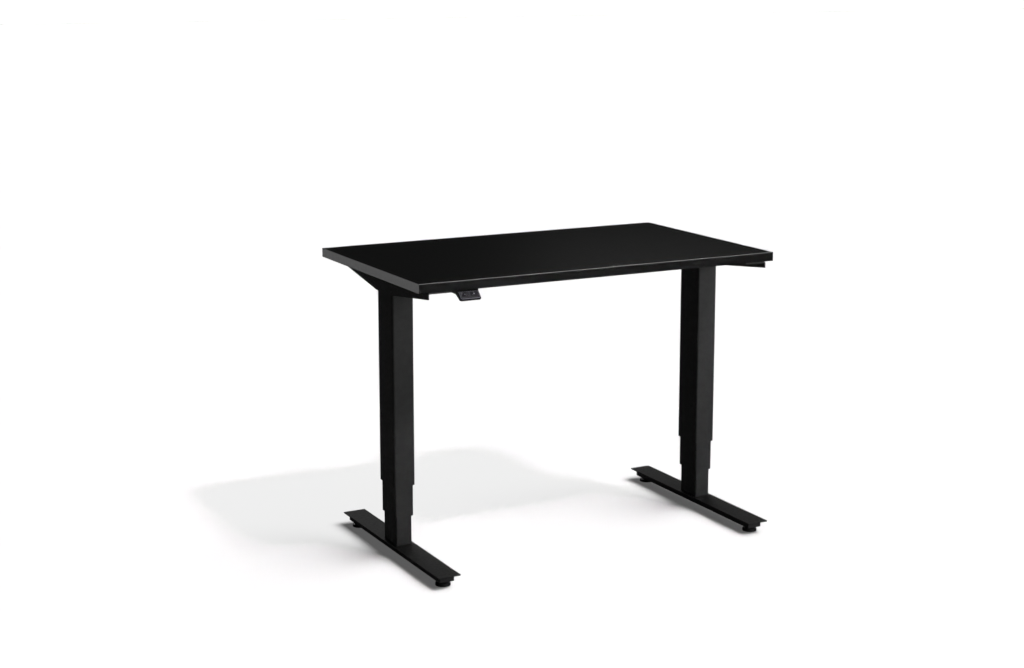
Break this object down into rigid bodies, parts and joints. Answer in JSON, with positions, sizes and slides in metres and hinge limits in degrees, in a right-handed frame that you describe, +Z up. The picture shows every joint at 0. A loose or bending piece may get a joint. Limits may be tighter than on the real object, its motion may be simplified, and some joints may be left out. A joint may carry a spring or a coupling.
{
  "type": "height adjustable standing desk",
  "caption": "Rectangular laminated desktop on a pair of motorised three-stage telescopic columns with flat T-shaped feet, raised and lowered by push buttons under the front edge.",
  "frame": {"origin": "on the floor, under the middle of the whole desk's box", "axes": "+Z up, +X to the right of a user who sits on the -Y side, +Y away from that user"},
  "size_m": [1, 0.638, 0.7342],
  "materials": {
    "coated_steel": "satin black powder coat with a fine texture",
    "black_laminate": "satin black melamine with a fine pearl texture",
    "edge_band": "satin black ABS edging",
    "chipboard": "raw chipboard",
    "black_plastic": "fine moulded texture",
    "fascia_plastic": "smooth satin dark grey",
    "nylon": "moulded nylon",
    "foot_pad": "moulded black",
    "cable_sheath": "smooth flexible sheath",
    "bright_steel": "turned and zinc plated",
    "cast_alloy": "as cast",
    "nut_plastic": "natural acetal",
    "circuit_green": "solder mask"
  },
  "bodies": {
    "base": {"foot_plate_left": "coated_steel", "foot_channel_left": "coated_steel", "inner_tube_left": "coated_steel", "lower_nut_left": "nut_plastic", "foot_plate_right": "coated_steel", "foot_channel_right": "coated_steel", "inner_tube_right": "coated_steel", "lower_nut_right": "nut_plastic"},
    "levelling_foot_front_left": {"levelling_foot_front_left": "foot_pad"},
    "levelling_foot_rear_left": {"levelling_foot_rear_left": "foot_pad"},
    "levelling_foot_front_right": {"levelling_foot_front_right": "foot_pad"},
    "levelling_foot_rear_right": {"levelling_foot_rear_right": "foot_pad"},
    "middle_stage_left": {"middle_tube_left": "coated_steel", "middle_glide_left": "nylon", "upper_nut_left": "nut_plastic"},
    "upper_screw_left": {"upper_screw_left": "bright_steel"},
    "hollow_screw_left": {"hollow_screw_left": "bright_steel"},
    "middle_stage_right": {"middle_tube_right": "coated_steel", "middle_glide_right": "nylon", "upper_nut_right": "nut_plastic"},
    "upper_screw_right": {"upper_screw_right": "bright_steel"},
    "hollow_screw_right": {"hollow_screw_right": "bright_steel"},
    "down_button": {"down_button": "black_plastic"},
    "up_button": {"up_button": "black_plastic"},
    "upper": {"outer_tube_left": "coated_steel", "head_plate_left": "coated_steel", "side_bracket_left": "coated_steel", "outer_glide_left": "nylon", "motor_left": "bright_steel", "gearbox_left": "cast_alloy", "motor_cable_left": "cable_sheath", "end_rail_front_left": "coated_steel", "end_rail_rear_left": "coated_steel", "outer_tube_right": "coated_steel", "head_plate_right": "coated_steel", "side_bracket_right": "coated_steel", "outer_glide_right": "nylon", "motor_right": "bright_steel", "gearbox_right": "cast_alloy", "motor_cable_right": "cable_sheath", "end_rail_front_right": "coated_steel", "end_rail_rear_right": "coated_steel", "centre_rail_front": "coated_steel", "centre_rail_rear": "coated_steel", "board_core": "chipboard", "top_laminate": "black_laminate", "backing_laminate": "black_laminate", "edge_band_front": "edge_band", "edge_band_rear": "edge_band", "edge_band_left": "edge_band", "edge_band_right": "edge_band", "control_box_cover": "black_plastic", "mains_inlet": "black_plastic", "handset_housing": "black_plastic", "control_box_plate": "coated_steel", "control_circuit_board": "circuit_green", "handset_fascia": "fascia_plastic", "handset_cable": "cable_sheath"}
  },
  "joints": [
    {"name": "lift", "type": "slide", "parent": "base", "child": "upper", "axis": [0, 0, 1], "range_m": [-0.137, 0.513]},
    {"name": "middle_stage_left_lift", "type": "slide", "parent": "base", "child": "middle_stage_left", "axis": [0, 0, 1], "range_m": [-0.0685, 0.2565]},
    {"name": "upper_screw_left_turn", "type": "hinge", "parent": "upper", "child": "upper_screw_left", "pos_m": [-0.445, -0.022, 0.5], "axis": [0, 0, 1], "range_deg": [-3083, 11543]},
    {"name": "hollow_screw_left_turn", "type": "hinge", "parent": "middle_stage_left", "child": "hollow_screw_left", "pos_m": [-0.445, -0.022, 0.5], "axis": [0, 0, 1], "range_deg": [-3083, 11543]},
    {"name": "middle_stage_right_lift", "type": "slide", "parent": "base", "child": "middle_stage_right", "axis": [0, 0, 1], "range_m": [-0.0685, 0.2565]},
    {"name": "upper_screw_right_turn", "type": "hinge", "parent": "upper", "child": "upper_screw_right", "pos_m": [0.445, -0.022, 0.5], "axis": [0, 0, 1], "range_deg": [-3083, 11543]},
    {"name": "hollow_screw_right_turn", "type": "hinge", "parent": "middle_stage_right", "child": "hollow_screw_right", "pos_m": [0.445, -0.022, 0.5], "axis": [0, 0, 1], "range_deg": [-3083, 11543]},
    {"name": "down_button_press", "type": "slide", "parent": "upper", "child": "down_button", "axis": [0, 0.7071, -0.7071], "range_m": [0, 0.001], "stiffness_N_per_m": 600, "springref_m": -0.0005},
    {"name": "up_button_press", "type": "slide", "parent": "upper", "child": "up_button", "axis": [0, 0.7071, -0.7071], "range_m": [0, 0.001], "stiffness_N_per_m": 600, "springref_m": -0.0005},
    {"name": "levelling_foot_front_left_turn", "type": "hinge", "parent": "base", "child": "levelling_foot_front_left", "pos_m": [-0.445, -0.282, 0.01], "axis": [0, 0, 1], "continuous": true},
    {"name": "levelling_foot_rear_left_turn", "type": "hinge", "parent": "base", "child": "levelling_foot_rear_left", "pos_m": [-0.445, 0.226, 0.01], "axis": [0, 0, 1], "continuous": true},
    {"name": "levelling_foot_front_right_turn", "type": "hinge", "parent": "base", "child": "levelling_foot_front_right", "pos_m": [0.445, -0.282, 0.01], "axis": [0, 0, 1], "continuous": true},
    {"name": "levelling_foot_rear_right_turn", "type": "hinge", "parent": "base", "child": "levelling_foot_rear_right", "pos_m": [0.445, 0.226, 0.01], "axis": [0, 0, 1], "continuous": true}
  ],
  "couplings": [
    {"joint": "middle_stage_left_lift", "follows": "lift", "ratio": 0.5},
    {"joint": "upper_screw_left_turn", "follows": "lift", "rad_per_m": 392.7},
    {"joint": "hollow_screw_left_turn", "follows": "lift", "rad_per_m": 392.7},
    {"joint": "middle_stage_right_lift", "follows": "lift", "ratio": 0.5},
    {"joint": "upper_screw_right_turn", "follows": "lift", "rad_per_m": 392.7},
    {"joint": "hollow_screw_right_turn", "follows": "lift", "rad_per_m": 392.7}
  ]
}
